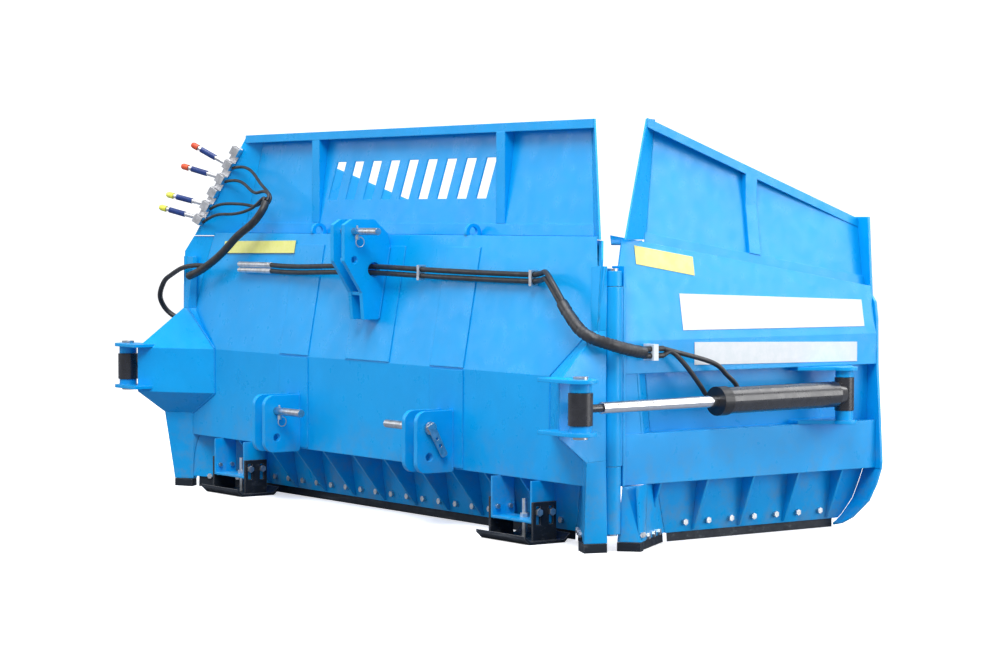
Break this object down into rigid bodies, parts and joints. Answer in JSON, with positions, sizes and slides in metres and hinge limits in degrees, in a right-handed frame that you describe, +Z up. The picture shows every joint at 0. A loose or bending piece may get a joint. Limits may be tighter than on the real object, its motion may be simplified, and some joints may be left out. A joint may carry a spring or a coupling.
{
  "type": "folding silage push blade",
  "caption": "Tractor linkage push blade: wide curved centre board with a raised slotted sheet and two folding end wings swung by hydraulic cylinders.",
  "frame": {"origin": "on the ground, under the middle of the centre cutting edge (mount ground_rest)", "axes": "+X towards the right-hand end, +Y the push direction, away from the tractor, +Z up; rest pose is the transport pose with both wings folded forward"},
  "size_m": [3.004, 1.454, 1.3788],
  "materials": {
    "cap_plastic": "red and yellow dust caps",
    "clamp_metal": "light grey clamp blocks",
    "coupler_plastic": "dark blue coupler sleeves",
    "cylinder_paint": "black gloss paint",
    "hose_rubber": "black braided rubber hose",
    "painted_steel": "azure blue gloss paint",
    "pin_steel": "bright pin steel",
    "rod_chrome": "hard chrome",
    "wear_steel": "black wear steel with scuffs",
    "zinc_fasteners": "zinc plated"
  },
  "bodies": {
    "frame": {"centre_mouldboard": "painted_steel", "corner_edges": "wear_steel", "corner_plates": "painted_steel", "coupler_caps": "cap_plastic", "coupler_holder": "clamp_metal", "couplers": "coupler_plastic", "cutting_edge": "wear_steel", "cylinder_anchors": "painted_steel", "doubler_plates": "painted_steel", "extension_frame": "painted_steel", "extension_panel": "painted_steel", "frame_bolts": "zinc_fasteners", "hinge_posts": "painted_steel", "hose_clamps": "clamp_metal", "lifting_eyes": "painted_steel", "lower_hitch_brackets": "painted_steel", "lower_ribs": "painted_steel", "pivot_pins": "pin_steel", "rear_casing": "painted_steel", "skid_brackets": "painted_steel", "supply_hoses": "hose_rubber", "top_hitch_bracket": "painted_steel"},
    "right_wing": {"right_cylinder_lugs": "painted_steel", "right_wing_bolts": "zinc_fasteners", "right_wing_box": "painted_steel", "right_wing_corner_plates": "painted_steel", "right_wing_cutting_edge": "wear_steel", "right_wing_extension_frame": "painted_steel", "right_wing_extension_panel": "painted_steel", "right_wing_hoses": "hose_rubber", "right_wing_mouldboard": "painted_steel", "right_wing_post": "painted_steel", "right_wing_ribs": "painted_steel", "right_wing_side_plate": "painted_steel"},
    "right_cylinder_barrel": {"right_cylinder_barrel": "cylinder_paint"},
    "right_cylinder_rod": {"right_cylinder_rod": "rod_chrome", "right_rod_eye": "cylinder_paint"},
    "right_skid": {"right_skid_shoe": "wear_steel"},
    "right_hitch_pin": {"right_lower_hitch_pin": "pin_steel"},
    "right_hitch_linch": {"right_lower_hitch_linch_pin": "zinc_fasteners"},
    "left_wing": {"left_cylinder_lugs": "painted_steel", "left_wing_bolts": "zinc_fasteners", "left_wing_box": "painted_steel", "left_wing_corner_plates": "painted_steel", "left_wing_cutting_edge": "wear_steel", "left_wing_extension_frame": "painted_steel", "left_wing_extension_panel": "painted_steel", "left_wing_hoses": "hose_rubber", "left_wing_mouldboard": "painted_steel", "left_wing_post": "painted_steel", "left_wing_ribs": "painted_steel", "left_wing_side_plate": "painted_steel"},
    "left_cylinder_barrel": {"left_cylinder_barrel": "cylinder_paint"},
    "left_cylinder_rod": {"left_cylinder_rod": "rod_chrome", "left_rod_eye": "cylinder_paint"},
    "left_skid": {"left_skid_shoe": "wear_steel"},
    "left_hitch_pin": {"left_lower_hitch_pin": "pin_steel"},
    "left_hitch_linch": {"left_lower_hitch_linch_pin": "zinc_fasteners"},
    "top_pin": {"top_link_pin": "pin_steel"},
    "top_linch": {"top_link_linch_pin": "zinc_fasteners"}
  },
  "joints": [
    {"name": "right_wing_fold", "type": "hinge", "parent": "frame", "child": "right_wing", "pos_m": [1.31, -0.104, 0], "axis": [0, 0, -1], "range_deg": [0, 90]},
    {"name": "right_cylinder_swing", "type": "hinge", "parent": "right_wing", "child": "right_cylinder_barrel", "pos_m": [1.375, 0.841, 0.469], "axis": [0, 0, 1], "range_deg": [0, 9]},
    {"name": "right_rod_travel", "type": "slide", "parent": "right_cylinder_barrel", "child": "right_cylinder_rod", "axis": [-0.0634, 0.998, 0], "range_m": [0, 0.362]},
    {"name": "right_skid_height", "type": "slide", "parent": "frame", "child": "right_skid", "axis": [0, 0, 1], "range_m": [-0.01, 0.032]},
    {"name": "right_hitch_pin_turn", "type": "hinge", "parent": "frame", "child": "right_hitch_pin", "pos_m": [0.49, -0.268, 0.348], "axis": [1, 0, 0], "range_deg": [-90, 25]},
    {"name": "right_linch_pull", "type": "slide", "parent": "right_hitch_pin", "child": "right_hitch_linch", "axis": [0, 0, -1], "range_m": [0, 0.05]},
    {"name": "left_wing_fold", "type": "hinge", "parent": "frame", "child": "left_wing", "pos_m": [-1.31, -0.104, 0], "axis": [0, 0, 1], "range_deg": [0, 90]},
    {"name": "left_cylinder_swing", "type": "hinge", "parent": "left_wing", "child": "left_cylinder_barrel", "pos_m": [-1.375, 0.841, 0.469], "axis": [0, 0, -1], "range_deg": [0, 9]},
    {"name": "left_rod_travel", "type": "slide", "parent": "left_cylinder_barrel", "child": "left_cylinder_rod", "axis": [0.0634, 0.998, 0], "range_m": [0, 0.362]},
    {"name": "left_skid_height", "type": "slide", "parent": "frame", "child": "left_skid", "axis": [0, 0, 1], "range_m": [-0.01, 0.032]},
    {"name": "left_hitch_pin_turn", "type": "hinge", "parent": "frame", "child": "left_hitch_pin", "pos_m": [-0.49, -0.268, 0.348], "axis": [1, 0, 0], "range_deg": [-90, 25]},
    {"name": "left_linch_pull", "type": "slide", "parent": "left_hitch_pin", "child": "left_hitch_linch", "axis": [0, 0, -1], "range_m": [0, 0.05]},
    {"name": "top_pin_turn", "type": "hinge", "parent": "frame", "child": "top_pin", "pos_m": [0, -0.249, 1.007], "axis": [1, 0, 0], "range_deg": [-60, 45]},
    {"name": "top_linch_pull", "type": "slide", "parent": "top_pin", "child": "top_linch", "axis": [0, 0, -1], "range_m": [0, 0.05]}
  ],
  "couplings": [
    {"joint": "right_cylinder_swing", "follows": "right_wing_fold", "ratio": 0.09288},
    {"joint": "right_rod_travel", "follows": "right_wing_fold", "m_per_rad": 0.22945},
    {"joint": "left_cylinder_swing", "follows": "left_wing_fold", "ratio": 0.09288},
    {"joint": "left_rod_travel", "follows": "left_wing_fold", "m_per_rad": 0.22945}
  ]
}
